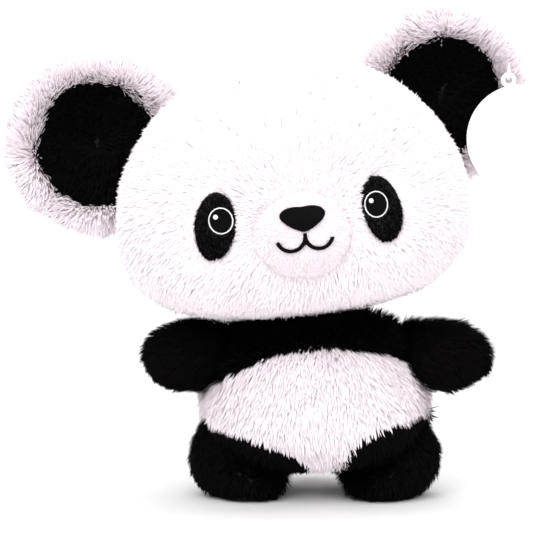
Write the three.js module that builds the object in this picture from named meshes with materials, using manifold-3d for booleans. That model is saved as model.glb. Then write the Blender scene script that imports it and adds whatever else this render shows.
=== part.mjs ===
// Standing plush panda: sewn pile-fabric bags with their fillings, an embroidered face, cupped ears and a
// swing tag. Millimetres, +Z up, the face towards -Y, the floor at Z = 0. "left" and "right" are the
// panda's own, so left is +X.
import * as THREE from "three";
import { ConvexGeometry } from "three/addons/geometries/ConvexGeometry.js";
import { mergeVertices } from "three/addons/utils/BufferGeometryUtils.js";
import Module from "manifold-3d";

const wasm = await Module();
wasm.setup();

const degrees = THREE.MathUtils.degToRad;
const vector = (x, y, z) => new THREE.Vector3(x, y, z);

// ---- Driving dimensions ----
const GAP = 0.4; // between pieces that are sewn together or lie against each other
const ROOM = 1; // between pieces that move past each other
const FABRIC = 4.5; // pressed pile and backing
const SLACK = { head: 2.4, torso: 2, limb: 1, muzzle: 1 }; // between a skin's inside and its filling
const SIDES = { right: -1, left: 1 };

const HEAD = {
  halfWidth: 108,
  halfDepth: 78,
  up: 98, // from the widest level to the crown
  down: 56, // from the widest level to the chin
  sectionPower: 2.15, // 2 is an ellipse, more is squarer
  upPower: 2,
  downPower: 2.85,
};
const NECK = vector(-6, 0, 104); // where the head turns, tilts and nods
const HEAD_CENTRE = vector(0, -4, 69); // from the neck, at the widest level
const HEAD_ROLL = degrees(6); // the head leans towards the panda's right shoulder
const HEAD_YAW = degrees(4); // and looks a little to its left
const NECK_BALL = 13;
const NECK_THREAD = { ring: 15, radius: 0.8 };
const NECK_HOLE = 30;
const BACK_SEAM = 12; // the head's ear-to-ear seam, behind the widest plane

// The features of the face, from the head's centre. They are placed by eye when the toy is sewn, so the
// muzzle is a little off the middle and one eye is nearer to it.
const MUZZLE = { halfWidth: 32, halfDepth: 24, halfHeight: 27, x: -2, y: -66, z: -6, cover: 3 };
const NOSE = { halfWidth: 13.6, height: 15, top: 10.2 };
// Half of the nose, from the middle of its top edge to its tip, in half widths and heights.
const NOSE_OUTLINE = [
  [0, 0.02],
  [0.45, 0.01],
  [0.8, 0.1],
  [0.98, 0.28],
  [0.95, 0.46],
  [0.74, 0.66],
  [0.4, 0.87],
  [0, 1],
];
const MOUTH = { radius: 8.2, level: -7, line: 2.5, end: degrees(15) };
const STITCHES = 1.2; // how far embroidery stands up
const EYE_PATCH = {
  x: { right: 52, left: 46 },
  z: 3.5,
  halfWidth: 11.8,
  halfHeight: 19.8,
  lean: degrees(11),
  pile: 2,
};
const EYE = { in: 3.6, up: 2.5, halfWidth: 7.3, halfHeight: 7.9, outline: 0.8 }; // from its patch's middle
const HIGHLIGHT = { x: -2.8, z: 2.4, radius: 1.5 };

// Each ear: the direction it stands in from the head's centre, its disc's centre beyond its hinge line and
// its size. They are stuffed and sewn by hand, so the two differ a little.
const EARS = {
  right: { rise: degrees(26.5), centre: 24, size: 1 },
  left: { rise: degrees(33), centre: 15, size: 0.95 },
};
const EAR_HINGE = { out: 105, back: 14, fold: degrees(18) };
// Half section of each ear piece: radius, then height above the back of the disc's middle.
const EAR_BACK = [
  [0, 12.5],
  [24, 11.5],
  [40, 7],
  [50, -2],
  [46.5, -2],
  [38, 4],
  [22, 8],
  [0, 9],
];
const EAR_RIM = [
  [50, -2.4],
  [48.5, -8.5],
  [43, -10.5],
  [38, -7],
  [38, -2.4],
];
const EAR_INNER = [
  [0, 2],
  [20, 1],
  [37.6, -2.8],
  [37.6, -5.4],
  [20, -2],
  [0, -1],
];
const EAR_FILLING = [
  [0, 8.6],
  [21.5, 7.6],
  [37, 3.6],
  [45, -2],
  [38, -2],
  [20, 1.5],
  [0, 2.5],
];

// Half width against height, from the crotch to the neck.
const TORSO_PROFILE = [
  [0, 20],
  [36, 21],
  [55, 27],
  [67, 39],
  [70, 52],
  [68.5, 66],
  [65, 83],
  [58, 97],
  [44, 105],
  [0, 108],
];
const TORSO_DEPTH = 0.78; // depth over width
const BELLY_ARCH = { x: 8, z: 45, halfWidth: 82, halfHeight: 53 }; // upper edge of the white belly
// The black cloth of the legs reaches up the front and the back of the body, in an arch on each side.
const HIP_ARCHES = {
  right: { x: 66, z: 14, halfWidth: 66, halfHeight: 36 },
  left: { x: 62, z: 19, halfWidth: 50, halfHeight: 38 },
};
const PELLETS_TOP = 56; // pellets weigh down the seat of the body, so that the toy stands

// A limb is the rounded bag around a few balls. The first is its root, in a socket in the torso.
const SHOULDER = vector(65, -4, 88);
const ARM_BALLS = [
  { at: vector(0, 0, 0), radius: 20 },
  { at: vector(13, -4, 0), radius: 20.5 },
  { at: vector(24, -8, 1), radius: 16 },
];
const ARM_SWING = [-20, 12, 45].map(degrees); // positive is forward
const HIP = vector(43, 2, 38);
const LEG_BALLS = [
  { at: vector(0, 0, 0), radius: 26 },
  { at: vector(7, -6, -13), radius: 27 },
  { at: vector(-4.5, -16, -16), radius: 25.5 },
  { at: vector(-4, 14, -17), radius: 23.5 },
];
const LEG_SWING = [-12, 6, 24].map(degrees); // positive is forward
const LIMB_SEGMENTS = 12;
const LIMB_RINGS = 7;
const SWEEP_SEGMENTS = 16; // the torso as the limbs are trimmed against it, with room for its flats
const SWEEP_ROOM = 2.6;
const SEAM_SIDE = 0.4; // the bag's wall towards the torso, as a share of the wall elsewhere
const LOOSE = 0.05; // a part cut off by more than this share of a limb means the limb has come apart
// The flat oval under each foot, from the hip.
const SOLE = { x: -0.5, y: -2, halfWidth: 20, halfLength: 30, thickness: 4 };
const ARM_MOUTH = 9; // half the width of the opening that an arm's skin has towards the torso

const TAIL = { radius: 14, y: 52, z: 36 };
const LABEL = { width: 12, length: 20, thickness: 0.9, x: 30, y: 44, z: 48 };
const LADDER = { stitches: 8, pitch: 4.5, swing: 2, radius: 0.45, z: 52, clear: 1.4 };

const TAG = {
  loop: vector(118, -9, 257), // where the plastic loop passes through the card's hole
  lean: degrees(12), // the card rests against the head, a little off plumb
  radius: 33,
  hole: 2.2,
  tab: 4.6,
  reach: 36.5, // from the hole to the middle of the card
  thickness: 0.8,
  loopRadius: 5,
  loopWire: 0.6,
};

// ---- Materials ----
const finish = (color, roughness = 0.95) =>
  new THREE.MeshStandardMaterial({ color, roughness, metalness: 0 });
const whitePlush = () => finish(0xf4eef2);
const blackPlush = () => finish(0x0c0b0b);
const shortPile = () => finish(0xf8f4f6, 0.9);
const filling = () => finish(0xf5f5f2, 0.98);
const pelletCloth = () => finish(0xd8d4cb, 0.85);
const blackThread = () => finish(0x121112, 0.6);
const whiteThread = () => finish(0xf6f4f5, 0.6);
const labelSatin = () => finish(0xf1f0ee, 0.5);
const card = () => finish(0xfbfbfb, 0.55);
const nylon = () => finish(0xe9edf0, 0.35);

// ---- Solids ----
function solidOf(geometry, matrix = new THREE.Matrix4()) {
  const source = geometry.clone().applyMatrix4(matrix);
  source.deleteAttribute("normal");
  source.deleteAttribute("uv");
  const merged = mergeVertices(source, 1e-4);
  const vertProperties = new Float32Array(merged.attributes.position.array);
  const triVerts = new Uint32Array(merged.index.array);
  return new wasm.Manifold(new wasm.Mesh({ numProp: 3, vertProperties, triVerts }));
}

function geometryOf(solid) {
  const { vertProperties, triVerts } = solid.getMesh();
  const geometry = new THREE.BufferGeometry();
  geometry.setAttribute("position", new THREE.BufferAttribute(new Float32Array(vertProperties), 3));
  geometry.setIndex(new THREE.BufferAttribute(new Uint32Array(triVerts), 1));
  geometry.computeVertexNormals();
  return geometry;
}

const union = (solids) => solids.reduce((a, b) => a.add(b));

// Cuts can leave a loose sliver; the piece is the largest body.
const largest = (solid) => solid.decompose().reduce((a, b) => (b.volume() > a.volume() ? b : a));

function block(x0, x1, y0, y1, z0, z1) {
  const shape = new THREE.BoxGeometry(x1 - x0, y1 - y0, z1 - z0);
  return solidOf(shape.translate((x0 + x1) / 2, (y0 + y1) / 2, (z0 + z1) / 2));
}

const FAR = 400;
const THROUGH = 160; // deeper than the head or the torso
const inFrontOf = (y) => block(-FAR, FAR, -FAR, y, -FAR, FAR);
const behind = (y) => block(-FAR, FAR, y, FAR, -FAR, FAR);
const above = (z) => block(-FAR, FAR, -FAR, FAR, z, FAR);
const below = (z) => block(-FAR, FAR, -FAR, FAR, -FAR, z);
const leftOf = (x) => block(x, FAR, -FAR, FAR, -FAR, FAR);
const rightOf = (x) => block(-FAR, x, -FAR, FAR, -FAR, FAR);

function ball(radius, at, segments = 16) {
  const sphere = new THREE.SphereGeometry(radius, segments, Math.round(segments / 1.6));
  return solidOf(sphere.translate(at.x, at.y, at.z));
}

// A solid of revolution about Y, from a half section of radius and height.
function turned(section, segments = 24) {
  const points = section.map(([radius, y]) => new THREE.Vector2(radius, y));
  if (points[0].x > 0) points.push(points[0].clone());
  return new THREE.LatheGeometry(points.reverse(), segments);
}

// A shape drawn as seen from the front, x across and y up, run from the face back into the head.
function facePrism(shape) {
  const drawn = { depth: THROUGH, bevelEnabled: false, curveSegments: 8 };
  return solidOf(new THREE.ExtrudeGeometry(shape, drawn).rotateX(Math.PI / 2));
}

function ellipse(x, y, halfWidth, halfHeight, turn = 0) {
  return new THREE.Shape().absellipse(x, y, halfWidth, halfHeight, 0, 2 * Math.PI, false, turn);
}

// The rounded bag around a limb's balls, with its surface moved in by shrink.
function bag(balls, shrink) {
  const points = [];
  for (const { at, radius } of balls) {
    const sphere = new THREE.SphereGeometry(radius - shrink, LIMB_SEGMENTS, LIMB_RINGS);
    const place = sphere.attributes.position;
    for (let i = 0; i < place.count; i++) points.push(vector().fromBufferAttribute(place, i).add(at));
  }
  return solidOf(new ConvexGeometry(points));
}

// ---- Head ----
// The head's form, with its surface moved out by grow.
function headForm(grow, segments = 24) {
  const form = new THREE.SphereGeometry(1, segments, segments / 2).rotateX(Math.PI / 2);
  const place = form.attributes.position;
  for (let i = 0; i < place.count; i++) {
    const direction = vector().fromBufferAttribute(place, i);
    const [height, power] = direction.z > 0 ? [HEAD.up, HEAD.upPower] : [HEAD.down, HEAD.downPower];
    const section = Math.hypot(
      ...[
        Math.abs(direction.x) / (HEAD.halfWidth + grow),
        Math.abs(direction.y) / (HEAD.halfDepth + grow),
      ].map((term) => Math.pow(term, HEAD.sectionPower / 2)),
    );
    const across = Math.pow(section, (2 / HEAD.sectionPower) * power);
    const upright = Math.pow(Math.abs(direction.z) / (height + grow), power);
    direction.multiplyScalar(Math.pow(across + upright, -1 / power));
    place.setXYZ(i, direction.x, direction.y, direction.z);
  }
  return solidOf(form);
}

function muzzleForm(grow) {
  const form = new THREE.SphereGeometry(1, 24, 12).rotateX(Math.PI / 2);
  form.scale(MUZZLE.halfWidth + grow, MUZZLE.halfDepth + grow, MUZZLE.halfHeight + grow);
  return solidOf(form.translate(MUZZLE.x, MUZZLE.y, MUZZLE.z));
}

function headPieces() {
  const opening = new THREE.CylinderGeometry(NECK_HOLE, NECK_HOLE, HEAD.down, 20);
  opening.rotateX(Math.PI / 2).translate(0, -HEAD_CENTRE.y, -HEAD.down);
  const skin = headForm(0).subtract(headForm(-FABRIC, 20)).subtract(solidOf(opening));
  const back = skin.intersect(behind(BACK_SEAM + GAP / 2));
  const pocket = ball(NECK_THREAD.ring + NECK_THREAD.radius + ROOM, HEAD_CENTRE.clone().negate());
  return {
    head_front_panel: skin.intersect(inFrontOf(BACK_SEAM - GAP / 2)),
    head_back_left_panel: back.intersect(leftOf(GAP / 2)),
    head_back_right_panel: back.intersect(rightOf(-GAP / 2)),
    head_filling: headForm(-FABRIC - SLACK.head, 20).subtract(pocket),
  };
}

// A thin layer that lies on the front of a form, cut to a front-view shape.
function layer(form, from, thickness, prism) {
  const middle = form === muzzleForm ? MUZZLE.y : 0;
  return largest(form(from + thickness).subtract(form(from)).intersect(prism).intersect(inFrontOf(middle)));
}

// A rounded triangle, point down.
function noseShape() {
  const { halfWidth, height, top } = NOSE;
  const side = (way) =>
    NOSE_OUTLINE.map(([across, down]) => new THREE.Vector2(way * across * halfWidth, top - down * height));
  const outline = new THREE.SplineCurve([...side(1), ...side(-1).toReversed().slice(1)]);
  return new THREE.Shape(outline.getPoints(36).slice(0, -1));
}

// One side of the smile: part of a ring.
function smileShape(side) {
  const { radius, level, line, end } = MOUTH;
  const [from, to] = side > 0 ? [Math.PI, 2 * Math.PI - end] : [Math.PI + end, 2 * Math.PI];
  const shape = new THREE.Shape();
  shape.absarc(side * radius, level, radius + line / 2, from, to, false);
  shape.absarc(side * radius, level, radius - line / 2, to, from, true);
  return shape;
}

function mouthPrism() {
  const half = MOUTH.line / 2;
  const tip = NOSE.top - NOSE.height;
  const stem = block(-half, half, -THROUGH, 0, MOUTH.level - MOUTH.line, tip - GAP);
  return union([facePrism(smileShape(1)), facePrism(smileShape(-1)), stem]);
}

// The stitched pieces of one eye, each on the patch and clear of the next.
function eyePieces(name, side) {
  const { x, z, halfWidth, halfHeight, lean, pile } = EYE_PATCH;
  const patch = facePrism(ellipse(side * x[name], z, halfWidth, halfHeight, side * lean));
  const eye = [side * (x[name] - EYE.in), z + EYE.up];
  const oval = (shrink) => facePrism(ellipse(...eye, EYE.halfWidth - shrink, EYE.halfHeight - shrink));
  const glint = [eye[0] + HIGHLIGHT.x, eye[1] + HIGHLIGHT.z];
  const dot = (grow) => facePrism(ellipse(...glint, HIGHLIGHT.radius + grow, HIGHLIGHT.radius + grow));
  const onPatch = (prism) => layer(headForm, 2 * GAP + pile, STITCHES, prism);
  return {
    patch: layer(headForm, GAP, pile, patch),
    ring: onPatch(oval(0).subtract(oval(EYE.outline))),
    disc: onPatch(oval(EYE.outline + GAP).subtract(dot(GAP))),
    highlight: onPatch(dot(0)),
  };
}

// ---- Ears, in the frame of the hinge line: X away from the head, Y back, Z along the hinge ----
function earPlace({ rise }) {
  const away = vector(Math.cos(rise), 0, Math.sin(rise));
  const along = vector(-Math.sin(rise), 0, Math.cos(rise));
  const place = new THREE.Matrix4().makeBasis(away, vector(0, 1, 0), along);
  const hinge = away.clone().multiplyScalar(EAR_HINGE.out);
  return place.setPosition(hinge.x, EAR_HINGE.back, hinge.z);
}

// The head as an ear meets it through its whole fold.
function headSweptByEar(ear) {
  const toEar = earPlace(ear).invert();
  const head = geometryOf(headForm(ROOM));
  const turns = [-1, 0, 1].map((way) => new THREE.Matrix4().makeRotationZ(way * EAR_HINGE.fold));
  return union(turns.map((turn) => solidOf(head, turn.multiply(toEar))));
}

function earPieces(ear) {
  const head = headSweptByEar(ear);
  const piece = (section) => {
    const disc = turned(section, 18).scale(ear.size, 1, ear.size).translate(ear.centre, 0, 0);
    return largest(solidOf(disc).subtract(head));
  };
  return {
    back_panel: piece(EAR_BACK),
    rim_panel: piece(EAR_RIM),
    inner_panel: piece(EAR_INNER),
    filling: piece(EAR_FILLING),
  };
}

// ---- Torso ----
// The torso's form, with each point of its profile moved out along its own normal by grow.
function torsoForm(grow, segments = 20) {
  const last = TORSO_PROFILE.length - 1;
  const section = TORSO_PROFILE.map(([radius, z], i) => {
    const [r0, z0] = TORSO_PROFILE[Math.max(i - 1, 0)];
    const [r1, z1] = TORSO_PROFILE[Math.min(i + 1, last)];
    const step = grow / Math.hypot(r1 - r0, z1 - z0);
    return [radius && radius + step * (z1 - z0), z - step * (r1 - r0)];
  });
  const form = turned(section.toReversed(), segments).rotateX(Math.PI / 2);
  return solidOf(form.scale(1, TORSO_DEPTH, 1));
}

const mirrored = (at) => vector(-at.x, at.y, at.z);

// The hollows that the limb roots and the neck turn in.
function sockets(room) {
  const limbs = [SHOULDER, mirrored(SHOULDER)].map((at) => ball(ARM_BALLS[0].radius + room, at));
  const legs = [HIP, mirrored(HIP)].map((at) => ball(LEG_BALLS[0].radius + room, at));
  const neck = ball(NECK_THREAD.ring + NECK_THREAD.radius + room, NECK);
  return union([...limbs, ...legs, neck]);
}

// A seam line that is an arch as seen from the front, with all that is below it, right through the torso.
function archPrism({ x, z, halfWidth, halfHeight }, grow) {
  const arch = facePrism(ellipse(x, z, halfWidth + grow, halfHeight + grow));
  const foot = block(x - halfWidth - grow, x + halfWidth + grow, -THROUGH, 0, z - THROUGH, z);
  return arch.add(foot).translate([0, THROUGH / 2, 0]);
}

function torsoPieces() {
  const skin = torsoForm(0).subtract(torsoForm(-FABRIC)).subtract(sockets(ROOM));
  const front = skin.intersect(inFrontOf(-GAP / 2));
  const back = skin.intersect(behind(GAP / 2));
  const inside = torsoForm(-FABRIC - SLACK.torso).subtract(sockets(2 * ROOM));
  const hips = Object.entries(SIDES).map(([name, side]) => {
    const { x, ...arch } = HIP_ARCHES[name];
    return [name, (grow) => archPrism({ x: side * x, ...arch }, grow)];
  });
  const offHips = union(hips.map(([, arch]) => arch(GAP)));
  const pieces = {
    belly_panel: front.intersect(archPrism(BELLY_ARCH, 0)).subtract(offHips),
    chest_panel: front.subtract(archPrism(BELLY_ARCH, GAP)).subtract(offHips),
    lower_back_panel: back.intersect(archPrism(BELLY_ARCH, 0)).subtract(offHips),
    shoulder_panel: back.subtract(archPrism(BELLY_ARCH, GAP)).subtract(offHips),
    pellet_bag: inside.intersect(below(PELLETS_TOP)),
    torso_filling: inside.intersect(above(PELLETS_TOP + GAP)),
  };
  for (const [name, arch] of hips) {
    pieces[`hip_${name}_front_panel`] = front.intersect(arch(0));
    pieces[`hip_${name}_back_panel`] = back.intersect(arch(0));
  }
  return Object.fromEntries(Object.entries(pieces).map(([name, solid]) => [name, largest(solid)]));
}

function tail() {
  return largest(ball(TAIL.radius, vector(0, TAIL.y, TAIL.z)).subtract(torsoForm(GAP)));
}

function careLabel() {
  const { width, length, thickness, x, y, z } = LABEL;
  const strip = block(x - width / 2, x + width / 2, y - length, y + length, z, z + thickness);
  return largest(strip.subtract(torsoForm(GAP)).intersect(behind(0)));
}

// How far back the torso reaches at this height.
function backOf(z) {
  const next = TORSO_PROFILE.findIndex(([, height]) => height > z);
  const [[r0, z0], [r1, z1]] = [TORSO_PROFILE[next - 1], TORSO_PROFILE[next]];
  return TORSO_DEPTH * (r0 + ((r1 - r0) * (z - z0)) / (z1 - z0));
}

// The hand-sewn ladder stitch that closes the back after filling: one thread that zigzags up the seam.
function ladderStitch() {
  const points = [];
  for (let i = 0; i <= LADDER.stitches; i++) {
    const z = LADDER.z + i * LADDER.pitch;
    points.push(vector(i % 2 ? LADDER.swing : -LADDER.swing, backOf(z) + LADDER.clear, z));
  }
  const extrudePath = new THREE.CatmullRomCurve3(points);
  const thread = new THREE.Shape().absarc(0, 0, LADDER.radius, 0, 2 * Math.PI);
  const options = { steps: 3 * LADDER.stitches, extrudePath, bevelEnabled: false, curveSegments: 3 };
  return new THREE.ExtrudeGeometry(thread, options);
}

// ---- Limbs, in the frame of their joint ----
// The torso as a limb meets it through its whole swing about axis.
function torsoSweptByLimb(at, axis, angles, grow) {
  const torso = geometryOf(torsoForm(grow, SWEEP_SEGMENTS));
  const toJoint = new THREE.Matrix4().makeTranslation(-at.x, -at.y, -at.z);
  const turns = angles.map((angle) => new THREE.Matrix4().makeRotationAxis(axis, angle));
  return union(turns.map((turn) => solidOf(torso, turn.multiply(toJoint))));
}

function limbForm(balls, at, axis, angles, shrink) {
  const torso = torsoSweptByLimb(at, axis, angles, SWEEP_ROOM + SEAM_SIDE * shrink);
  const clear = bag(balls, shrink).subtract(torso);
  const limb = clear.add(ball(balls[0].radius - shrink, balls[0].at, LIMB_SEGMENTS));
  const whole = largest(limb);
  if (whole.volume() < (1 - LOOSE) * limb.volume()) throw new Error("a limb has come apart from its root");
  return whole;
}

function armPieces() {
  const form = (shrink) => limbForm(ARM_BALLS, SHOULDER, vector(0, 0, 1), ARM_SWING, shrink);
  const mouth = block(-FAR, -ARM_BALLS[0].radius / 2, -ARM_MOUTH, ARM_MOUTH, -ARM_MOUTH, ARM_MOUTH);
  const outer = form(0);
  return { fabric: outer.subtract(form(FABRIC)).subtract(mouth), filling: form(FABRIC + SLACK.limb) };
}

function legPieces() {
  const floor = -HIP.z;
  const { x, y, halfWidth, halfLength, thickness } = SOLE;
  const options = { depth: thickness, bevelEnabled: false, curveSegments: 16 };
  const sole = new THREE.ExtrudeGeometry(ellipse(x, y, halfWidth, halfLength), options);
  const form = (shrink) => limbForm(LEG_BALLS, HIP, vector(1, 0, 0), LEG_SWING, shrink);
  const overSole = above(floor + thickness + GAP);
  return {
    fabric: largest(form(0).subtract(form(FABRIC)).intersect(overSole)),
    sole: solidOf(sole.translate(0, 0, floor)),
    filling: form(FABRIC + SLACK.limb).intersect(overSole),
  };
}

// ---- Swing tag, in the frame of the loop: the hole runs along Y ----
function tagCard() {
  const { radius, hole, tab, reach, thickness } = TAG;
  const plate = (shape) => {
    const options = { depth: thickness, bevelEnabled: false, curveSegments: 20 };
    return solidOf(new THREE.ExtrudeGeometry(shape, options).rotateX(Math.PI / 2));
  };
  const punch = solidOf(new THREE.CylinderGeometry(hole, hole, 10, 14));
  return plate(ellipse(0, -reach, radius, radius)).add(plate(ellipse(0, 0, tab, tab))).subtract(punch);
}

function tagLoop() {
  const ring = new THREE.TorusGeometry(TAG.loopRadius, TAG.loopWire, 6, 20);
  return ring.rotateY(Math.PI / 2).translate(0, -TAG.thickness / 2, TAG.loopRadius);
}

// ---- Assembly ----
const panda = new THREE.Group();

function add(group, name, shape, material) {
  const geometry = shape.isBufferGeometry ? shape : geometryOf(shape);
  const mesh = new THREE.Mesh(geometry, material);
  mesh.name = name;
  group.add(mesh);
}

function addTorso() {
  const finishes = {
    belly_panel: whitePlush,
    lower_back_panel: whitePlush,
    pellet_bag: pelletCloth,
    torso_filling: filling,
  };
  for (const [name, solid] of Object.entries(torsoPieces())) {
    add(panda, name, solid, (finishes[name] ?? blackPlush)());
  }
  add(panda, "tail", tail(), whitePlush());
  add(panda, "care_label", careLabel(), labelSatin());
  add(panda, "ladder_stitch", ladderStitch(), whiteThread());
}

function addNeck() {
  const neck = new THREE.Group();
  neck.position.copy(NECK);
  add(neck, "neck_filling", new THREE.SphereGeometry(NECK_BALL, 16, 10), filling());
  const { ring, radius } = NECK_THREAD;
  add(neck, "neck_thread", new THREE.TorusGeometry(ring, radius, 6, 24), whiteThread());
  panda.add(neck);
}

function addHead() {
  const head = new THREE.Group();
  head.position.copy(NECK);
  head.rotation.set(0, -HEAD_ROLL, HEAD_YAW);
  panda.add(head);
  const face = new THREE.Group();
  face.position.copy(HEAD_CENTRE);
  head.add(face);

  for (const [name, solid] of Object.entries(headPieces())) {
    add(face, name, solid, name === "head_filling" ? filling() : whitePlush());
  }
  const seam = headForm(GAP);
  const cover = muzzleForm(0).subtract(muzzleForm(-MUZZLE.cover)).subtract(seam);
  add(face, "muzzle_panel", largest(cover), shortPile());
  add(face, "muzzle_filling", largest(muzzleForm(-MUZZLE.cover - SLACK.muzzle).subtract(seam)), filling());
  for (const [name, prism] of Object.entries({ nose: facePrism(noseShape()), mouth: mouthPrism() })) {
    add(face, name, layer(muzzleForm, GAP, STITCHES, prism.translate([MUZZLE.x, 0, 0])), blackThread());
  }

  const eyeFinish = { patch: blackPlush, ring: whiteThread, disc: blackThread, highlight: whiteThread };
  for (const [name, side] of Object.entries(SIDES)) {
    for (const [piece, solid] of Object.entries(eyePieces(name, side))) {
      add(face, `eye_${piece}_${name}`, solid, eyeFinish[piece]());
    }
    addEar(face, name, side);
  }
}

function addEar(face, name, side) {
  const ear = EARS[name];
  const group = new THREE.Group();
  group.applyMatrix4(new THREE.Matrix4().makeScale(side, 1, 1).multiply(earPlace(ear)));
  const finishes = {
    back_panel: whitePlush,
    rim_panel: whitePlush,
    inner_panel: blackPlush,
    filling: filling,
  };
  for (const [piece, solid] of Object.entries(earPieces(ear))) {
    add(group, `ear_${name}_${piece}`, solid, finishes[piece]());
  }
  face.add(group);
}

function addLimbs() {
  const limbs = { arm: [SHOULDER, armPieces()], leg: [HIP, legPieces()] };
  const finishes = { arm_filling: filling, leg_filling: pelletCloth }; // the feet are weighted as well
  for (const [name, side] of Object.entries(SIDES)) {
    const half = new THREE.Group();
    half.scale.x = side;
    panda.add(half);
    for (const [limb, [at, pieces]] of Object.entries(limbs)) {
      const joint = new THREE.Group();
      joint.position.copy(at);
      half.add(joint);
      for (const [piece, solid] of Object.entries(pieces)) {
        add(joint, `${limb}_${name}_${piece}`, solid, (finishes[`${limb}_${piece}`] ?? blackPlush)());
      }
    }
  }
}

function addTag() {
  const tag = new THREE.Group();
  tag.position.copy(TAG.loop);
  add(tag, "tag_loop", tagLoop(), nylon());
  const hanging = new THREE.Group();
  hanging.rotation.y = -TAG.lean;
  add(hanging, "tag_card", tagCard(), card());
  tag.add(hanging);
  panda.add(tag);
}

addTorso();
addNeck();
addHead();
addLimbs();
addTag();

// The origin is at the middle of the whole toy's footprint, on the floor.
const bounds = new THREE.Box3().setFromObject(panda, true);
const middle = bounds.getCenter(vector());
panda.position.set(-middle.x, -middle.y, -bounds.min.z);

export default panda;
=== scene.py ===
"""Standing plush panda: stuffed pile-fabric bags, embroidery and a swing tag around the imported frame."""
import math

import bmesh
import bpy
import numpy as np
from mathutils import Matrix, Vector, kdtree
from mathutils.bvhtree import BVHTree


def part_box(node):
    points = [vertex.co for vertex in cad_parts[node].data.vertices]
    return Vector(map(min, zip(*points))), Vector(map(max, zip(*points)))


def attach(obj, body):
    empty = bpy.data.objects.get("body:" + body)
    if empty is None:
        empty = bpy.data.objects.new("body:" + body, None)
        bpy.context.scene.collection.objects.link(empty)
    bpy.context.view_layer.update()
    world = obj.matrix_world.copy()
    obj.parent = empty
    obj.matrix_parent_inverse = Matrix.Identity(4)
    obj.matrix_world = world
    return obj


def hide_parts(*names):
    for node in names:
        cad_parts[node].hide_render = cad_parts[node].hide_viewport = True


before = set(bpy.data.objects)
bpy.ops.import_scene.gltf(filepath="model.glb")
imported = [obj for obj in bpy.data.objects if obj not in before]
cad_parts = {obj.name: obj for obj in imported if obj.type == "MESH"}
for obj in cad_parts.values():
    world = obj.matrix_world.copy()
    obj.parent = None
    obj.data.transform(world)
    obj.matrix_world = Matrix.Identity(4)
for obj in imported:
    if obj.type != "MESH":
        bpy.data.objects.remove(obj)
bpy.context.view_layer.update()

bl_info = {
    "name": "Plush Panda",
    "version": (1, 0, 0),
    "blender": (4, 5, 0),
    "location": "View3D > Sidebar > Panda",
    "description": "Makes a standing plush panda from pile fabric, filling and thread",
    "category": "Add Mesh",
}

SIDES = {"left": 1, "right": -1}
MM = 0.001
UP = Vector((0, 0, 1))
FLOOR_CLEARANCE = 0.0004  # no tuft of the legs' pile goes below this height
CAMERA = {"distance": 1.25, "view_width": 0.3305, "left": 0.030, "height": 0.1420, "rise": math.radians(4)}
# Each lamp: its place from the middle of the body, how far above that middle it aims, its size and power.
LAMPS = {
    "key": ((-0.55, -1.3, 1.25), 0.09, 1.5, 23),
    "fill": ((0.9, -1.0, 0.75), 0.09, 1.4, 6),
    "top": ((0.1, 0.3, 1.6), 0.1, 1.4, 14),
}


# ---- Sizes and colours a user would change ----
class PileSettings(bpy.types.PropertyGroup):
    """The long and short pile of the fabric."""

    length: bpy.props.FloatProperty(
        name="Length", description="Long pile, root to tip", default=0.0095, unit="LENGTH"
    )
    short: bpy.props.FloatProperty(
        name="Short length", description="Pile of the muzzle and eye patches", default=0.0026, unit="LENGTH"
    )
    density: bpy.props.FloatProperty(
        name="Density", description="Tufts of long pile on a square millimetre", default=1.45
    )
    short_density: bpy.props.FloatProperty(
        name="Short density", description="Tufts of short pile on a square millimetre", default=3.2
    )
    width: bpy.props.FloatProperty(
        name="Tuft width", description="Width of a tuft of long pile", default=0.0013, unit="LENGTH"
    )
    clump: bpy.props.FloatProperty(
        name="Clumping", description="How far tips gather into locks", default=0.3, subtype="FACTOR"
    )


class StuffingSettings(bpy.types.PropertyGroup):
    """How the bags are filled."""

    voxel: bpy.props.FloatProperty(
        name="Voxel", description="Mesh size of the bags before filling", default=0.005, unit="LENGTH"
    )
    pressure: bpy.props.FloatProperty(name="Pressure", description="Filling pressure in the bags", default=4.0)
    swell: bpy.props.FloatProperty(
        name="Swell", description="How far the cloth may move out", default=0.002, unit="LENGTH"
    )


class ColourSettings(bpy.types.PropertyGroup):
    """Colours of the fabrics and threads."""

    white: bpy.props.FloatVectorProperty(
        name="White pile", description="Tips of the white pile", subtype="COLOR", default=(0.98, 0.93, 0.963)
    )
    black: bpy.props.FloatVectorProperty(
        name="Black pile", description="Tips of the black pile", subtype="COLOR", default=(0.006, 0.005, 0.0053)
    )
    thread: bpy.props.FloatVectorProperty(
        name="Black thread", description="Embroidery floss", subtype="COLOR", default=(0.003, 0.0026, 0.0028)
    )
    card: bpy.props.FloatVectorProperty(
        name="Card", description="Blank swing tag", subtype="COLOR", default=(0.96, 0.96, 0.96)
    )


# ---- Meshes ----
def settings():
    scene = bpy.context.scene
    return scene.panda_pile, scene.panda_stuffing, scene.panda_colours


def new_piece(name, mesh):
    piece = bpy.data.objects.new(name, mesh)
    bpy.context.scene.collection.objects.link(piece)
    return piece


def solids_of(nodes, name):
    """One mesh with the solids of several frame nodes, their loose triangles merged."""
    form = bmesh.new()
    for node in nodes:
        form.from_mesh(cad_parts[node].data)
    bmesh.ops.remove_doubles(form, verts=form.verts, dist=1e-6)
    mesh = bpy.data.meshes.new(name)
    form.to_mesh(mesh)
    form.free()
    return mesh


def settle(piece):
    """Makes what the modifiers show the piece's own mesh."""
    graph = bpy.context.evaluated_depsgraph_get()
    graph.update()
    mesh = bpy.data.meshes.new_from_object(piece.evaluated_get(graph))
    piece.modifiers.clear()
    piece.data = mesh


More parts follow.
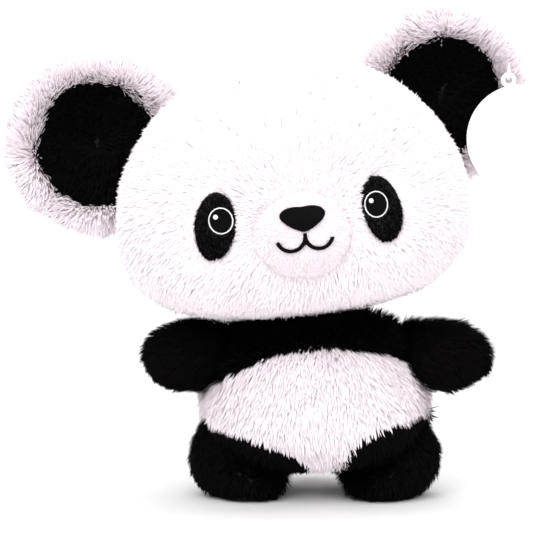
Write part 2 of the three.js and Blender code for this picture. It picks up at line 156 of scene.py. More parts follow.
def outer_shell(piece):
    """Keeps the largest of the separate surfaces, so that no pocket is left inside."""
    form = bmesh.new()
    form.from_mesh(piece.data)
    left, shells = set(form.verts), []
    while left:
        shell, edge = set(), [left.pop()]
        while edge:
            vert = edge.pop()
            shell.add(vert)
            for link in vert.link_edges:
                other = link.other_vert(vert)
                if other in left:
                    left.discard(other)
                    edge.append(other)
        shells.append(shell)
    keep = max(shells, key=len)
    bmesh.ops.delete(form, geom=[vert for vert in form.verts if vert not in keep], context="VERTS")
    form.to_mesh(piece.data)
    form.free()


def inflate(piece, pressure, swell):
    """Fills the bag: cloth under pressure, with the move of each point capped."""
    count = len(piece.data.vertices)
    before = np.empty(count * 3)
    piece.data.vertices.foreach_get("co", before)
    cloth = piece.modifiers.new("filling", "CLOTH")
    cloth.settings.use_pressure = True
    cloth.settings.uniform_pressure_force = pressure
    cloth.settings.effector_weights.gravity = 0
    cloth.collision_settings.use_collision = False
    scene = bpy.context.scene
    for step in range(1, 21):
        scene.frame_set(step)
    settle(piece)
    scene.frame_set(1)
    after = np.empty(count * 3)
    piece.data.vertices.foreach_get("co", after)
    move = (after - before).reshape(-1, 3)
    far = np.linalg.norm(move, axis=1, keepdims=True)
    move *= np.minimum(1, swell / np.maximum(far, 1e-9))
    piece.data.vertices.foreach_set("co", (before.reshape(-1, 3) + move).ravel())
    piece.data.update()


def soften(piece, rounds, factor=0.5):
    form = bmesh.new()
    form.from_mesh(piece.data)
    for _ in range(rounds):
        bmesh.ops.smooth_vert(form, verts=form.verts, factor=factor, use_axis_x=True, use_axis_y=True, use_axis_z=True)
    bmesh.ops.recalc_face_normals(form, faces=form.faces)
    form.to_mesh(piece.data)
    form.free()


def stuffed(name, nodes, voxel=None, rounds=3, fine=1):
    """A filled bag round the solids of some frame nodes."""
    _, stuffing, _ = settings()
    piece = new_piece(name, solids_of(nodes, name))
    remesh = piece.modifiers.new("bag", "REMESH")
    remesh.mode = "VOXEL"
    remesh.voxel_size = voxel or stuffing.voxel
    settle(piece)
    outer_shell(piece)
    if voxel is None:
        inflate(piece, stuffing.pressure, stuffing.swell)
    soften(piece, rounds)
    if fine:
        subdivide = piece.modifiers.new("cloth", "SUBSURF")
        subdivide.levels = subdivide.render_levels = fine
        settle(piece)
    piece.data.shade_smooth()
    return piece


def dress(piece, body, slot, *materials):
    """Gives a finished piece its materials and its body. The slot argument is not used."""
    piece.data.materials.clear()
    for material in materials:
        piece.data.materials.append(material)
    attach(piece, body)
    return piece


# ---- Pile ----
def unit(vectors):
    return vectors / np.maximum(np.linalg.norm(vectors, axis=-1, keepdims=True), 1e-9)


def drift(points, size, seed):
    """A smooth wandering vector at each point, about one long, that changes over size."""
    random = np.random.default_rng(seed)
    total = np.zeros_like(points)
    for _ in range(7):
        wave = random.normal(size=3) * 2.2 / size
        total += np.sin(points @ wave + random.uniform(0, 2 * math.pi))[:, None] * random.normal(size=3)
    return total / 2.6


def scatter(piece, density, random):
    """Even random places on a piece, with the cloth's normal at each."""
    mesh = piece.data
    mesh.calc_loop_triangles()
    corners = np.empty(len(mesh.loop_triangles) * 3, int)
    mesh.loop_triangles.foreach_get("vertices", corners)
    corners = corners.reshape(-1, 3)
    places = np.empty(len(mesh.vertices) * 3)
    mesh.vertices.foreach_get("co", places)
    normals = np.empty(len(mesh.vertices) * 3)
    mesh.vertices.foreach_get("normal", normals)
    places, normals = places.reshape(-1, 3)[corners], normals.reshape(-1, 3)[corners]
    areas = np.linalg.norm(np.cross(places[:, 1] - places[:, 0], places[:, 2] - places[:, 0]), axis=1) / 2
    count = int(areas.sum() * density * 1e6)
    sums = np.cumsum(areas)
    pick = np.minimum(np.searchsorted(sums, random.uniform(0, sums[-1], count)), len(areas) - 1)
    share = np.sqrt(random.uniform(size=(count, 1)))
    other = random.uniform(size=(count, 1))
    weights = np.stack([1 - share, share * (1 - other), share * other], axis=1)
    return (places[pick] * weights).sum(axis=1), unit((normals[pick] * weights).sum(axis=1))


def locks(roots, spacing, seed):
    """For each root, the index of the tuft in the middle of its lock."""
    random = np.random.default_rng(seed)
    cells = np.round(roots / spacing + drift(roots, spacing * 2, seed) * 0.35).astype(int)
    _, first = np.unique(cells, axis=0, return_index=True)
    tree = kdtree.KDTree(len(first))
    for index, root in enumerate(first):
        tree.insert(roots[root], index)
    tree.balance()
    jitter = random.normal(size=roots.shape) * spacing * 0.12
    return np.array([first[tree.find(place)[1]] for place in roots + jitter])


def blades(name, roots, grow, side, normals, length, width, random, floor=None):
    """Tapered curved tufts as one mesh: two quads and a tip each. None goes below floor."""
    steps = np.array([0.0, 0.38, 0.74, 1.0])
    taper = np.array([1.0, 0.95, 0.62, 0.0])
    count = len(roots)
    start, end = grow
    spine = np.empty((count, 4, 3))
    spine[:, 0] = roots - normals * 0.8 * MM  # rooted a little way into the cloth
    for k in range(1, 4):
        middle = (steps[k] + steps[k - 1]) / 2
        heading = unit(start * (1 - middle) + end * middle)
        spine[:, k] = spine[:, k - 1] + heading * (length * (steps[k] - steps[k - 1]))[:, None]
    if floor is not None:
        spine[:, :, 2] = np.maximum(spine[:, :, 2], floor)
    half = side * (width / 2)[:, None]
    verts = np.empty((count, 7, 3))
    for k in range(3):
        verts[:, 2 * k] = spine[:, k] - half * taper[k]
        verts[:, 2 * k + 1] = spine[:, k] + half * taper[k]
    verts[:, 6] = spine[:, 3]
    base = (np.arange(count) * 7)[:, None]
    loops = (base + np.array([0, 1, 3, 2, 2, 3, 5, 4, 4, 5, 6])).ravel()
    starts = (np.arange(count)[:, None] * 11 + np.array([0, 4, 8])).ravel()
    mesh = bpy.data.meshes.new(name)
    mesh.vertices.add(count * 7)
    mesh.vertices.foreach_set("co", verts.ravel().astype(np.float32))
    mesh.loops.add(count * 11)
    mesh.loops.foreach_set("vertex_index", loops.astype(np.int32))
    mesh.polygons.add(count * 3)
    mesh.polygons.foreach_set("loop_start", starts.astype(np.int32))
    shade = random.integers(0, 3, count)
    index = np.stack([np.zeros(count, int), 1 + (shade > 0), 1 + (shade > 0)], axis=1)
    mesh.polygons.foreach_set("material_index", index.ravel().astype(np.int32))
    mesh.update(calc_edges=True)
    mesh.shade_smooth()
    return new_piece(name, mesh)


def plant(
    name,
    cloth,
    comb,
    seed,
    keep=None,
    lean=(52, 78),
    short=False,
    stretch=1.0,
    thick=1.0,
    parts=1,
    floor=None,
    trim=None,
):
    """Pile on a cloth piece. comb gives the way it lies, lean its slope in degrees at root and tip.

    keep says which roots have a tuft, and trim how much of each tuft is left after clipping. stretch and thick
    multiply the pile's length and density, and parts is the number of pieces that the tufts are shared among.
    """
    pile, _, _ = settings()
    random = np.random.default_rng(seed)
    density = (pile.short_density if short else pile.density) * thick
    roots, normals = scatter(cloth, density, random)
    if keep is not None:
        kept = keep(roots, normals)
        roots, normals = roots[kept], normals[kept]
    count = len(roots)
    spacing = 0.0035 if short else 0.0105
    way = comb(roots, normals) + 0.3 * drift(roots, spacing * 2.4, seed + 1) + 0.12 * random.normal(size=(count, 3))
    way = unit(way - normals * (way * normals).sum(axis=1, keepdims=True))
    first, last = (math.radians(angle) for angle in lean)
    wobble = random.normal(size=(count, 1)) * 0.1
    start = normals * np.cos(first + wobble) + way * np.sin(first + wobble)
    end = normals * np.cos(last + wobble) + way * np.sin(last + wobble)
    full = (pile.short if short else pile.length) * stretch
    length = full * random.uniform(0.72, 1.1, count) * (1 + 0.12 * drift(roots, spacing * 3, seed + 2)[:, 0])
    if trim is not None:
        length *= trim(roots)
    centre = locks(roots, spacing, seed + 3)
    tip = roots + (start + end) / 2 * length[:, None]
    aim = tip[centre] - roots
    end = unit(end + pile.clump * unit(aim) * 1.4)
    side = unit(np.cross(unit(start + end), normals))
    roll = random.normal(size=(count, 1)) * 0.14
    side = unit(side * np.cos(roll) + np.cross(unit(start + end), side) * np.sin(roll))
    width = pile.width * (0.45 if short else 1) * random.uniform(0.7, 1.25, count)
    pieces = []
    for part in range(parts):
        mine = slice(part, None, parts)
        label = name if parts == 1 else f"{name}_{part + 1}"
        grow = (start[mine], end[mine])
        piece = blades(label, roots[mine], grow, side[mine], normals[mine], length[mine], width[mine], random, floor)
        pieces.append(piece)
    return pieces


def combed(direction):
    """Pile that lies one way all over."""
    way = np.array(direction, float)
    return lambda roots, normals: np.tile(way, (len(roots), 1))


def away_from(centre, pull=(0, 0, 0), top=None):
    """Pile that lies away from a point, with a steady pull as well, which fades out up to the height top."""
    middle, steady = np.array(centre), np.array(pull, float)

    def comb(roots, normals):
        share = 1.0 if top is None else np.clip((top - roots[:, 2:]) / (40 * MM), 0, 1)
        return unit(roots - middle) + steady * share

    return comb


# ---- Materials ----
def plain(name, colour, roughness=0.9, sheen=0.0, sheen_colour=(1, 1, 1), specular=0.3):
    """A finish that is the same all over: its variety comes from the pile's own tones and shape."""
    material = bpy.data.materials.get(name)
    if material:
        return material
    material = bpy.data.materials.new(name)
    material.use_nodes = True
    shader = material.node_tree.nodes["Principled BSDF"]
    shader.inputs["Base Color"].default_value = (*colour, 1)
    shader.inputs["Roughness"].default_value = roughness
    shader.inputs["Specular IOR Level"].default_value = specular
    shader.inputs["Sheen Weight"].default_value = sheen
    shader.inputs["Sheen Tint"].default_value = (*sheen_colour, 1)
    shader.inputs["Sheen Roughness"].default_value = 0.45
    return material


def toned(colour, factor, tint=(1, 1, 1)):
    return tuple(min(1.0, c * factor * t) for c, t in zip(colour, tint))


def white_pile():
    """Root, middle and tip tones: the roots are a little mauve where light is lost between the tufts."""
    white = settings()[2].white
    return (
        plain("white_pile_root", toned(white, 0.99, (1.0, 0.98, 0.99)), specular=0.15),
        plain("white_pile_shade", toned(white, 1.0), sheen=0.2, specular=0.2),
        plain("white_pile_tip", toned(white, 1.03), sheen=0.2, specular=0.2),
    )


def black_pile():
    # The roots are darker: painted shade where light is lost between the tufts. The tips are lighter.
    black = settings()[2].black
    return (
        plain("black_pile_root", toned(black, 0.5), specular=0.05),
        plain("black_pile_shade", toned(black, 0.8), sheen=0.015, sheen_colour=(0.5, 0.45, 0.5), specular=0.1),
        plain("black_pile_tip", toned(black, 1.3), sheen=0.03, sheen_colour=(0.55, 0.5, 0.52), specular=0.15),
    )


def textured(name, colour, other, scale, kind, roughness=0.75, relief=0.3, stretch=(1, 1, 1), sheen=0.0):
    """A finish with a pattern in its colour and relief, read from the piece's own place."""
    material = bpy.data.materials.get(name)
    if material:
        return material
    material = bpy.data.materials.new(name)
    material.use_nodes = True
    nodes, links = material.node_tree.nodes, material.node_tree.links
    shader = nodes["Principled BSDF"]
    place = nodes.new("ShaderNodeTexCoord")
    mapping = nodes.new("ShaderNodeMapping")
    mapping.inputs["Scale"].default_value = stretch
    links.new(place.outputs["Object"], mapping.inputs["Vector"])
    pattern = nodes.new(kind)
    pattern.inputs["Scale"].default_value = scale
    if kind == "ShaderNodeTexWave":
        pattern.inputs["Distortion"].default_value = 1.6
        pattern.inputs["Detail"].default_value = 2
    links.new(mapping.outputs["Vector"], pattern.inputs["Vector"])
    value = pattern.outputs["Fac"] if "Fac" in pattern.outputs else pattern.outputs[0]
    ramp = nodes.new("ShaderNodeValToRGB")
    ramp.color_ramp.elements[0].color = (*other, 1)
    ramp.color_ramp.elements[1].color = (*colour, 1)
    links.new(value, ramp.inputs["Fac"])
    links.new(ramp.outputs["Color"], shader.inputs["Base Color"])
    bump = nodes.new("ShaderNodeBump")
    bump.inputs["Strength"].default_value = relief
    bump.inputs["Distance"].default_value = 0.0003
    links.new(value, bump.inputs["Height"])
    links.new(bump.outputs["Normal"], shader.inputs["Normal"])
    shader.inputs["Roughness"].default_value = roughness
    shader.inputs["Sheen Weight"].default_value = sheen
    return material


def backing(name, colour):
    """The knitted ground of the pile fabric."""
    return textured(name, colour, toned(colour, 0.8), 900, "ShaderNodeTexVoronoi", 0.95, 0.4)


def white_backing():
    # Darker and more mauve than the pile's tips: painted shade under the pile, over the knit's own pattern.
    return backing("white_backing", toned(settings()[2].white, 0.95, (1, 0.97, 0.985)))


def black_backing():
    # Half the black pile's tone: painted shade under the pile, over the knit's own pattern.
    return backing("black_backing", toned(settings()[2].black, 0.5))


def floss(name, colour, other, turn=(1, 1, 1), specular=0.4):
    """Satin stitch: close parallel threads."""
    material = textured(name, colour, other, 330, "ShaderNodeTexWave", 0.5, 0.7, turn)
    material.node_tree.nodes["Principled BSDF"].inputs["Specular IOR Level"].default_value = specular
    return material


def fibre():
    return textured("filling_fibre", (0.9, 0.9, 0.88), (0.74, 0.74, 0.72), 260, "ShaderNodeTexNoise", 1.0, 0.8)


def centre_of(node):
    low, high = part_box(node)
    return (Vector(low) + Vector(high)) / 2


def half_of(node):
    low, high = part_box(node)
    return (Vector(high) - Vector(low)) / 2


def panel_finder(panels):
    """Makes a function that says which of some frame nodes each place is nearest to."""
    verts, faces, owners = [], [], []
    for owner, node in enumerate(panels):
        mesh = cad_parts[node].data
        first = len(verts)
        verts += [vert.co.copy() for vert in mesh.vertices]
        faces += [[first + index for index in face.vertices] for face in mesh.polygons]
        owners += [owner] * len(mesh.polygons)
    tree = BVHTree.FromPolygons(verts, faces)
    return lambda places: np.array([owners[tree.find_nearest(place)[2]] for place in places])


def distance_from(nodes, roots):
    """How far each root is from the nearest of some oval face pieces, seen from the front, in metres."""
    nearest = np.full(len(roots), 1.0)
    for node in nodes:
        centre, half = centre_of(node), half_of(node)
        across, up = (roots[:, 0] - centre.x) / half.x, (roots[:, 2] - centre.z) / half.z
        away = np.hypot(across, up)
        gap = (away - 1) * np.hypot(across * half.x, up * half.z) / np.maximum(away, 1e-6)
        nearest = np.minimum(nearest, np.where(roots[:, 1] > centre.y + 0.03, 1.0, gap))
    return nearest


# ---- Operators ----
class PANDA_OT_head(bpy.types.Operator):
    """Make the head's stuffed bag and its white pile"""

    bl_idname = "panda.head"
    bl_label = "Head"

    def execute(self, context):
        panels = ("head_front_panel", "head_back_left_panel", "head_back_right_panel")
        bag = stuffed("head_cover", panels + ("head_filling",))
        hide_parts(*panels)
        dress(bag, "head", "white_plush", white_backing())
        centre = centre_of("head_filling")
        face = [f"eye_patch_{name}" for name in SIDES]
        seam = centre.y + 0.004
        nose = centre_of("muzzle_panel")

        def front(roots, normals):
            off_face = (distance_from(face, roots) > -0.0002) & (distance_from(["muzzle_panel"], roots) > -0.003)
            return (roots[:, 1] < seam) & off_face

        def clipped(roots):
            """Shortest beside the eyes and the muzzle, and whole from 8 to 9 mm away from them."""
            by_eyes = np.clip(0.28 + distance_from(face, roots) / 0.011, 0, 1)
            by_muzzle = np.clip(0.55 + distance_from(["muzzle_panel"], roots) / 0.02, 0, 1)
            return np.minimum(by_eyes, by_muzzle)

        def back(side):
            return lambda roots, normals: (roots[:, 1] >= seam) & ((roots[:, 0] - centre.x) * side > 0)

        comb = away_from(nose, (0, 0, -0.9), nose.z + 0.03)
        for piece in plant("face_pile", bag, comb, 11, front, parts=4, stretch=0.92, trim=clipped):
            dress(piece, "head", "white_plush", *white_pile())
        for name, side in SIDES.items():
            comb = away_from(centre + Vector((0, -0.06, 0.01)), (0, 0.2, -0.7), centre.z + 0.05)
            for piece in plant(f"head_back_pile_{name}", bag, comb, 21 + side, back(side), parts=2):
                dress(piece, "head", "white_plush", *white_pile())
        return {"FINISHED"}


class PANDA_OT_face(bpy.types.Operator):
    """Make the muzzle, the nose, the mouth and the eyes"""

    bl_idname = "panda.face"
    bl_label = "Face"

    def execute(self, context):
        thread = settings()[2].thread
        muzzle = stuffed("muzzle_cover", ("muzzle_panel", "muzzle_filling"), voxel=0.0016, rounds=6)
        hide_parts("muzzle_panel")
        dress(muzzle, "head", "short_white_pile", white_backing())
        off_thread = self.off_stitches()
        down = away_from(centre_of("nose"), (0, 0, -0.3))
        for piece in plant("muzzle_pile", muzzle, down, 31, off_thread, lean=(20, 55), short=True):
            dress(piece, "head", "short_white_pile", *white_pile())
        black = floss("black_floss", toned(thread, 1.0), toned(thread, 0.35), (1, 0.3, 0.2), specular=0.05)
        white = floss("white_floss", (0.95, 0.94, 0.95), (0.82, 0.79, 0.82))
        for node in ("nose", "mouth"):
            stitch = stuffed(f"{node}_embroidery", (node,), voxel=0.0005, rounds=4, fine=0)
            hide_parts(node)
            dress(stitch, "head", "black_thread", black)
        for name in SIDES:
            self.eye(name, black, white)
        return {"FINISHED"}

    def off_stitches(self):
        nose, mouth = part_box("nose"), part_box("mouth")

        def keep(roots, normals):
            x, z = roots[:, 0], roots[:, 2]
            middle = (nose[0][0] + nose[1][0]) / 2
            reach = (nose[1][0] - nose[0][0]) / 2
            drop = np.clip((nose[1][2] - z) / (nose[1][2] - nose[0][2]), 0, 1)
            return ~(
                (np.abs(x - middle) < reach * 0.96 * np.sqrt(np.clip(1 - drop**1.6, 0, 1)))
                & (z > nose[0][2])
                & (z < nose[1][2])
                & (roots[:, 1] < mouth[1][1])
            )

        return keep

    def eye(self, name, black, white):
        patch = stuffed(f"eye_patch_cloth_{name}", (f"eye_patch_{name}",), voxel=0.0009, rounds=5, fine=0)
        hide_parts(f"eye_patch_{name}")
        dress(patch, "head", "short_black_pile", black_backing())
        ring = [f"eye_ring_{name}"]

        def off_eye(roots, normals):
            return distance_from(ring, roots) > 0.0001

        for piece in plant(
            f"eye_patch_pile_{name}", patch, combed((0, 0, -1)), 41, off_eye, lean=(30, 62), short=True, stretch=1.1
        ):
            dress(piece, "head", "short_black_pile", *black_pile())
        for part, slot, finish in (
            ("disc", "black_thread", black),
            ("ring", "white_thread", white),
            ("highlight", "white_thread", white),
        ):
            node = f"eye_{part}_{name}"
            stitch = stuffed(f"eye_{part}_floss_{name}", (node,), voxel=0.0003, rounds=3, fine=0)
            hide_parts(node)
            dress(stitch, "head", slot, finish)


class PANDA_OT_ears(bpy.types.Operator):
    """Make the two cupped ears with white rims and black insides"""

    bl_idname = "panda.ears"
    bl_label = "Ears"

    def execute(self, context):
        for name in SIDES:
            body = f"ear_{name}"
            shell_nodes = [f"ear_{name}_{part}" for part in ("back_panel", "rim_panel", "filling")]
            shell = stuffed(f"ear_{name}_cover", shell_nodes, voxel=0.0032, rounds=4)
            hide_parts(*shell_nodes[:2])
            dress(shell, body, "white_plush", white_backing())
            inner = stuffed(f"ear_{name}_lining", (f"ear_{name}_inner_panel",), voxel=0.002, rounds=4)
            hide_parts(f"ear_{name}_inner_panel")
            dress(inner, body, "black_plush", black_backing())
            middle, half = centre_of(f"ear_{name}_back_panel"), half_of(f"ear_{name}_inner_panel")
            lining = centre_of(f"ear_{name}_inner_panel")

            def rim(roots, normals, lining=lining, half=half):
                across = (roots[:, 0] - lining.x) / half.x
                up = (roots[:, 2] - lining.z) / half.z
                return (across**2 + up**2 > 1.02) | (normals[:, 1] > 0.2)  # round the lining, and behind

            comb = away_from(middle + Vector((0, -0.012, 0)))
            for piece in plant(f"ear_{name}_pile", shell, comb, 51, rim, lean=(34, 62), stretch=1.25, thick=1.1):
                dress(piece, body, "white_plush", *white_pile())

            def front(roots, normals):
                return normals[:, 1] < 0

            outward = away_from(lining, (0, 0, -0.35))
            inside = plant(f"ear_{name}_lining_pile", inner, outward, 52, front, lean=(26, 64), stretch=0.95)
            for piece in inside:
                dress(piece, body, "black_plush", *black_pile())
        return {"FINISHED"}


class PANDA_OT_torso(bpy.types.Operator):
    """Make the body's stuffed bag with its white belly and black chest, the tail and the label"""

    bl_idname = "panda.torso"
    bl_label = "Torso"

    def execute(self, context):
        hips = [f"hip_{name}_{part}_panel" for name in SIDES for part in ("front", "back")]
        panels = ("belly_panel", "chest_panel", "lower_back_panel", "shoulder_panel", *hips)
        bag = stuffed("torso_cover", panels + ("torso_filling", "pellet_bag"))
        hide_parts(*panels)
        dress(bag, "torso", "white_plush", white_backing(), black_backing())
        cloths = {
            "belly": ("belly_panel",),
            "lower_back": ("lower_back_panel",),
            "chest": ("chest_panel",),
            "shoulder": ("shoulder_panel",),
            "hip_left": ("hip_left_front_panel", "hip_left_back_panel"),
            "hip_right": ("hip_right_front_panel", "hip_right_back_panel"),
        }
        nodes = [node for panel in cloths.values() for node in panel]
        owner = panel_finder(nodes)
        middles = np.empty(len(bag.data.polygons) * 3)
        bag.data.polygons.foreach_get("center", middles)
        dark = owner(middles.reshape(-1, 3)) > nodes.index("lower_back_panel")
        bag.data.polygons.foreach_set("material_index", dark.astype(np.int32))
        crown = centre_of("neck_filling")
        for label, own in cloths.items():
            mine = [nodes.index(node) for node in own]

            def keep(roots, normals, mine=mine):
                return np.isin(owner(roots), mine)

            white = label in ("belly", "lower_back")
            finishes = white_pile() if white else black_pile()
            for piece in plant(f"{label}_pile", bag, away_from(crown, (0, 0, -0.8)), 61, keep):
                dress(piece, "torso", "white_plush" if white else "black_plush", *finishes)
        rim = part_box("torso_filling")[1][2] - 0.02

        def by_neck(roots, normals):
            return (roots[:, 2] > rim) & (owner(roots) > nodes.index("lower_back_panel"))

        for piece in plant("collar_pile", bag, away_from(crown), 62, by_neck, lean=(8, 32), stretch=1.15, thick=0.6):
            dress(piece, "torso", "black_plush", *black_pile())
        self.tail()
        self.label()
        return {"FINISHED"}

    def tail(self):
        bob = stuffed("tail_bob", ("tail",), voxel=0.002, rounds=4)
        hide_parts("tail")
        dress(bob, "torso", "white_plush", white_backing())
        for piece in plant("tail_pile", bob, combed((0, 0.3, -1)), 71, thick=1.2):
            dress(piece, "torso", "white_plush", *white_pile())

    def label(self):
        """A satin ribbon sewn into the side of the bag, curling a little at its free end."""
        low, high = (Vector(corner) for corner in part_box("care_label"))
        ribbon = new_piece("care_label_ribbon", solids_of(("care_label",), "care_label_ribbon"))
        form = bmesh.new()
        form.from_mesh(ribbon.data)
        bmesh.ops.subdivide_edges(form, edges=form.edges, cuts=7, use_grid_fill=True)
        for vert in form.verts:  # droops towards its free end, with a slight wave across
            out = (vert.co.y - low.y) / (high.y - low.y)
            vert.co.z -= 0.002 * out**2 * (1 + 0.3 * math.sin(vert.co.x * 400))
        form.to_mesh(ribbon.data)
        form.free()
        ribbon.data.shade_smooth()
        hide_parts("care_label")
        satin = textured("label_satin", (0.92, 0.91, 0.9), (0.82, 0.81, 0.8), 500, "ShaderNodeTexWave", 0.4, 0.3)
        dress(ribbon, "torso", "label_satin", satin)


class PANDA_OT_limbs(bpy.types.Operator):
    """Make the arms and the legs with their soles"""

    bl_idname = "panda.limbs"
    bl_label = "Arms and legs"

    def execute(self, context):
        for name, side in SIDES.items():
            arm = stuffed(f"arm_{name}_cover", (f"arm_{name}_fabric", f"arm_{name}_filling"), rounds=4)
            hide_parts(f"arm_{name}_fabric")
            dress(arm, f"arm_{name}", "black_plush", black_backing())
            out = combed((side * 0.8, -0.2, -0.7))
            for piece in plant(f"arm_{name}_pile", arm, out, 81 + side, thick=1.2, stretch=1.2):
                dress(piece, f"arm_{name}", "black_plush", *black_pile())

            fabric, sole, filling = (f"leg_{name}_{part}" for part in ("fabric", "sole", "filling"))
            leg = stuffed(f"leg_{name}_cover", (fabric, filling), rounds=4)
            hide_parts(fabric)
            dress(leg, f"leg_{name}", "black_plush", black_backing())

            def above_sole(roots, normals):
                return (roots[:, 2] > 0.003) | (normals[:, 2] > -0.6)

            down = combed((side * 0.2, -0.1, -1))
            pile = plant(f"leg_{name}_pile", leg, down, 91 + side, above_sole, thick=1.05, floor=FLOOR_CLEARANCE)
            for piece in pile:
                dress(piece, f"leg_{name}", "black_plush", *black_pile())
            pad = stuffed(f"leg_{name}_sole_cloth", (sole,), voxel=0.0011, rounds=3, fine=0)
            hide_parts(sole)
            pressed = textured(
                "sole_pile", (0.02, 0.018, 0.019), (0.006, 0.005, 0.006), 420, "ShaderNodeTexNoise", 0.95, 0.9
            )
            dress(pad, f"leg_{name}", "sole_plush", pressed)
        return {"FINISHED"}


class PANDA_OT_filling(bpy.types.Operator):
    """Finish the fillings, the pellets and the threads inside and on the seams"""

    bl_idname = "panda.filling"
    bl_label = "Filling and thread"

    def execute(self, context):
        thread = floss("seam_floss", (0.93, 0.92, 0.93), (0.75, 0.73, 0.75))
        beige, shadow = (0.75, 0.72, 0.66), (0.6, 0.57, 0.52)
        pellets = textured("pellet_cloth", beige, shadow, 240, "ShaderNodeTexVoronoi", 0.8, 0.9)
        for name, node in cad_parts.items():
            if name == "pellet_bag" or name.startswith("leg") and name.endswith("filling"):
                finish = pellets
            elif name.endswith("filling"):
                finish = fibre()
            elif name in ("ladder_stitch", "neck_thread"):
                finish = thread
            else:
                continue
            node.data.materials.clear()
            node.data.materials.append(finish)
        return {"FINISHED"}


class PANDA_OT_tag(bpy.types.Operator):
    """Make the blank swing tag and its loop"""

    bl_idname = "panda.tag"
    bl_label = "Swing tag"

    def execute(self, context):
        card = settings()[2].card
        stock = textured("tag_stock", card, toned(card, 0.985), 60, "ShaderNodeTexNoise", 0.5, 0.04)
        low, high = (Vector(corner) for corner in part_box("tag_card"))
        radius = (high.x - low.x) / 2
        centre = Vector(((low.x + high.x) / 2, (low.y + high.y) / 2, low.z + radius))
        loop_low, loop_high = (Vector(corner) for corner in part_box("tag_loop"))
        hole = Vector(((loop_low.x + loop_high.x) / 2, centre.y, loop_low.z + 0.0006))
        tag = new_piece("tag_card_blank", self.card(centre, hole, radius, high.y - low.y))
        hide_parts("tag_card")
        dress(tag, "tag", "card", stock)

        wire = (loop_high.x - loop_low.x) / 2
        ring = (loop_high.z - loop_low.z) / 2 - wire
        form = bmesh.new()
        section = bmesh.ops.create_circle(form, segments=10, radius=wire)["verts"]
        bmesh.ops.translate(form, verts=section, vec=(0, ring, 0))
        edges = [edge for edge in form.edges]
        turned = Matrix.Rotation(math.pi / 2, 4, "Y")
        bmesh.ops.rotate(form, verts=section, cent=(0, ring, 0), matrix=turned)
        bmesh.ops.rotate(form, verts=section, cent=(0, ring, 0), matrix=Matrix.Rotation(math.pi / 2, 4, "Z"))
        bmesh.ops.spin(
            form, geom=section + edges, cent=(0, 0, 0), axis=(1, 0, 0), angle=2 * math.pi, steps=40, use_merge=True
        )
        bmesh.ops.remove_doubles(form, verts=form.verts, dist=1e-6)
        bmesh.ops.recalc_face_normals(form, faces=form.faces)
        bmesh.ops.translate(form, verts=form.verts, vec=(loop_low + loop_high) / 2)
        mesh = bpy.data.meshes.new("tag_loop_moulded")
        form.to_mesh(mesh)
        form.free()
        mesh.shade_smooth()
        loop = new_piece("tag_loop_moulded", mesh)
        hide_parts("tag_loop")
        nylon = textured("tag_nylon", (0.86, 0.88, 0.9), (0.8, 0.82, 0.85), 90, "ShaderNodeTexNoise", 0.3, 0.05)
        dress(loop, "tag_loop", "nylon", nylon)
        return {"FINISHED"}

    def card(self, centre, hole, radius, thick):
        """A round card with a small eyelet tab, punched."""
        tab, punch = 0.0046, 0.0022
        form = bmesh.new()
        away = (hole - centre).normalized()
        reach = (hole - centre).length
        along = (reach**2 + radius**2 - tab**2) / (2 * reach)
        spread = math.acos(max(-1, min(1, along / radius)))
        top = math.atan2(away.z, away.x)
        outline = []
        for k in range(97):
            angle = top + spread + (2 * math.pi - 2 * spread) * k / 96
            outline.append(centre + Vector((math.cos(angle), 0, math.sin(angle))) * radius)
        join = outline[-1] - hole
        begin = math.atan2(join.z, join.x)
        join = outline[0] - hole
        sweep = (math.atan2(join.z, join.x) - begin) % (2 * math.pi)
        for k in range(1, 24):
            angle = begin + sweep * k / 24
            outline.append(hole + Vector((math.cos(angle), 0, math.sin(angle))) * tab)
        turns = np.linspace(0, 2 * math.pi, 25)[:-1]
        punched = [hole + Vector((math.cos(angle), 0, math.sin(angle))) * punch for angle in turns]
        edges = []
        for rim in (outline, punched):
            verts = [form.verts.new(place) for place in rim]
            edges += [form.edges.new((verts[k], verts[(k + 1) % len(verts)])) for k in range(len(verts))]
        bmesh.ops.triangle_fill(form, edges=edges, use_beauty=True)
        sheet = bmesh.ops.extrude_face_region(form, geom=form.faces[:])
        moved = [item for item in sheet["geom"] if isinstance(item, bmesh.types.BMVert)]
        bmesh.ops.translate(form, verts=moved, vec=(0, thick, 0))
        bmesh.ops.translate(form, verts=form.verts, vec=(0, -thick / 2, 0))
        bmesh.ops.recalc_face_normals(form, faces=form.faces)
        mesh = bpy.data.meshes.new("tag_card_blank")
        form.to_mesh(mesh)
        form.free()
        return mesh


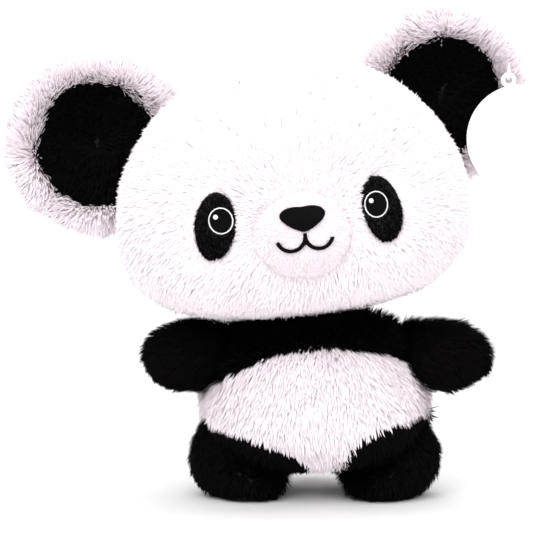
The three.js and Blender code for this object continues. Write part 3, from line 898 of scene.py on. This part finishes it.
class PANDA_OT_stage(bpy.types.Operator):
    """Make the floor, the lights and the camera"""

    bl_idname = "panda.stage"
    bl_label = "Stage"

    def execute(self, context):
        scene = bpy.context.scene
        form = bmesh.new()
        bmesh.ops.create_circle(form, cap_ends=True, segments=96, radius=1.1)
        mesh = bpy.data.meshes.new("studio_floor")
        form.to_mesh(mesh)
        form.free()
        floor = new_piece("studio_floor", mesh)
        floor.data.materials.append(plain("floor_white", (0.86, 0.86, 0.86), 0.9))

        world = bpy.data.worlds.new("studio")
        world.use_nodes = True
        nodes, links = world.node_tree.nodes, world.node_tree.links
        nodes["Background"].inputs["Color"].default_value = (1, 0.985, 0.995, 1)
        place, axes = nodes.new("ShaderNodeTexCoord"), nodes.new("ShaderNodeSeparateXYZ")
        fade = nodes.new("ShaderNodeMapRange")  # the room is white behind the toy and dimmer before it
        for socket, value in (("From Min", -0.6), ("From Max", 0.5), ("To Min", 0.55), ("To Max", 1.05)):
            fade.inputs[socket].default_value = value
        links.new(place.outputs["Generated"], axes.inputs["Vector"])
        links.new(axes.outputs["Y"], fade.inputs["Value"])
        links.new(fade.outputs["Result"], nodes["Background"].inputs["Strength"])
        scene.world = world
        scene.view_settings.view_transform = "Standard"

        body = centre_of("torso_filling")
        for name, (place, above, size, power) in LAMPS.items():
            self.lamp(name, body + Vector(place), body + UP * above, size, power)

        data = bpy.data.cameras.new("portrait")
        data.lens = data.sensor_width * CAMERA["distance"] / CAMERA["view_width"]
        camera = bpy.data.objects.new("portrait", data)
        scene.collection.objects.link(camera)
        aim = Vector((body.x - CAMERA["left"], body.y, CAMERA["height"]))
        rise = CAMERA["rise"]
        camera.location = aim + Vector((0, -math.cos(rise), math.sin(rise))) * CAMERA["distance"]
        camera.rotation_euler = (aim - camera.location).to_track_quat("-Z", "Y").to_euler()
        scene.camera = camera
        return {"FINISHED"}

    def lamp(self, name, place, aim, size, power):
        data = bpy.data.lights.new(name, "AREA")
        data.size = size
        data.energy = power
        lamp = bpy.data.objects.new(name, data)
        lamp.location = place
        lamp.rotation_euler = (aim - place).to_track_quat("-Z", "Y").to_euler()
        bpy.context.scene.collection.objects.link(lamp)


OPERATORS = (
    PANDA_OT_stage,
    PANDA_OT_head,
    PANDA_OT_face,
    PANDA_OT_ears,
    PANDA_OT_torso,
    PANDA_OT_limbs,
    PANDA_OT_filling,
    PANDA_OT_tag,
)


class PANDA_PT_panel(bpy.types.Panel):
    """Steps and settings of the plush panda"""

    bl_idname = "PANDA_PT_panel"
    bl_label = "Plush Panda"
    bl_space_type = "VIEW_3D"
    bl_region_type = "UI"
    bl_category = "Panda"

    def draw(self, context):
        for group in (context.scene.panda_pile, context.scene.panda_stuffing, context.scene.panda_colours):
            box = self.layout.box()
            for name in group.bl_rna.properties.keys():
                if name not in ("rna_type", "name"):
                    box.prop(group, name)
        for operator in OPERATORS:
            self.layout.operator(operator.bl_idname)


GROUPS = {
    "panda_pile": PileSettings,
    "panda_stuffing": StuffingSettings,
    "panda_colours": ColourSettings,
}


def register():
    for name, group in GROUPS.items():
        bpy.utils.register_class(group)
        setattr(bpy.types.Scene, name, bpy.props.PointerProperty(type=group))
    for kind in (*OPERATORS, PANDA_PT_panel):
        bpy.utils.register_class(kind)


def unregister():
    for kind in (PANDA_PT_panel, *reversed(OPERATORS)):
        bpy.utils.unregister_class(kind)
    for name, group in GROUPS.items():
        delattr(bpy.types.Scene, name)
        bpy.utils.unregister_class(group)


def main():
    register()
    for operator in OPERATORS:
        step = operator.bl_idname.split(".")[1]
        getattr(bpy.ops.panda, step)()


if __name__ == "__main__":
    main()
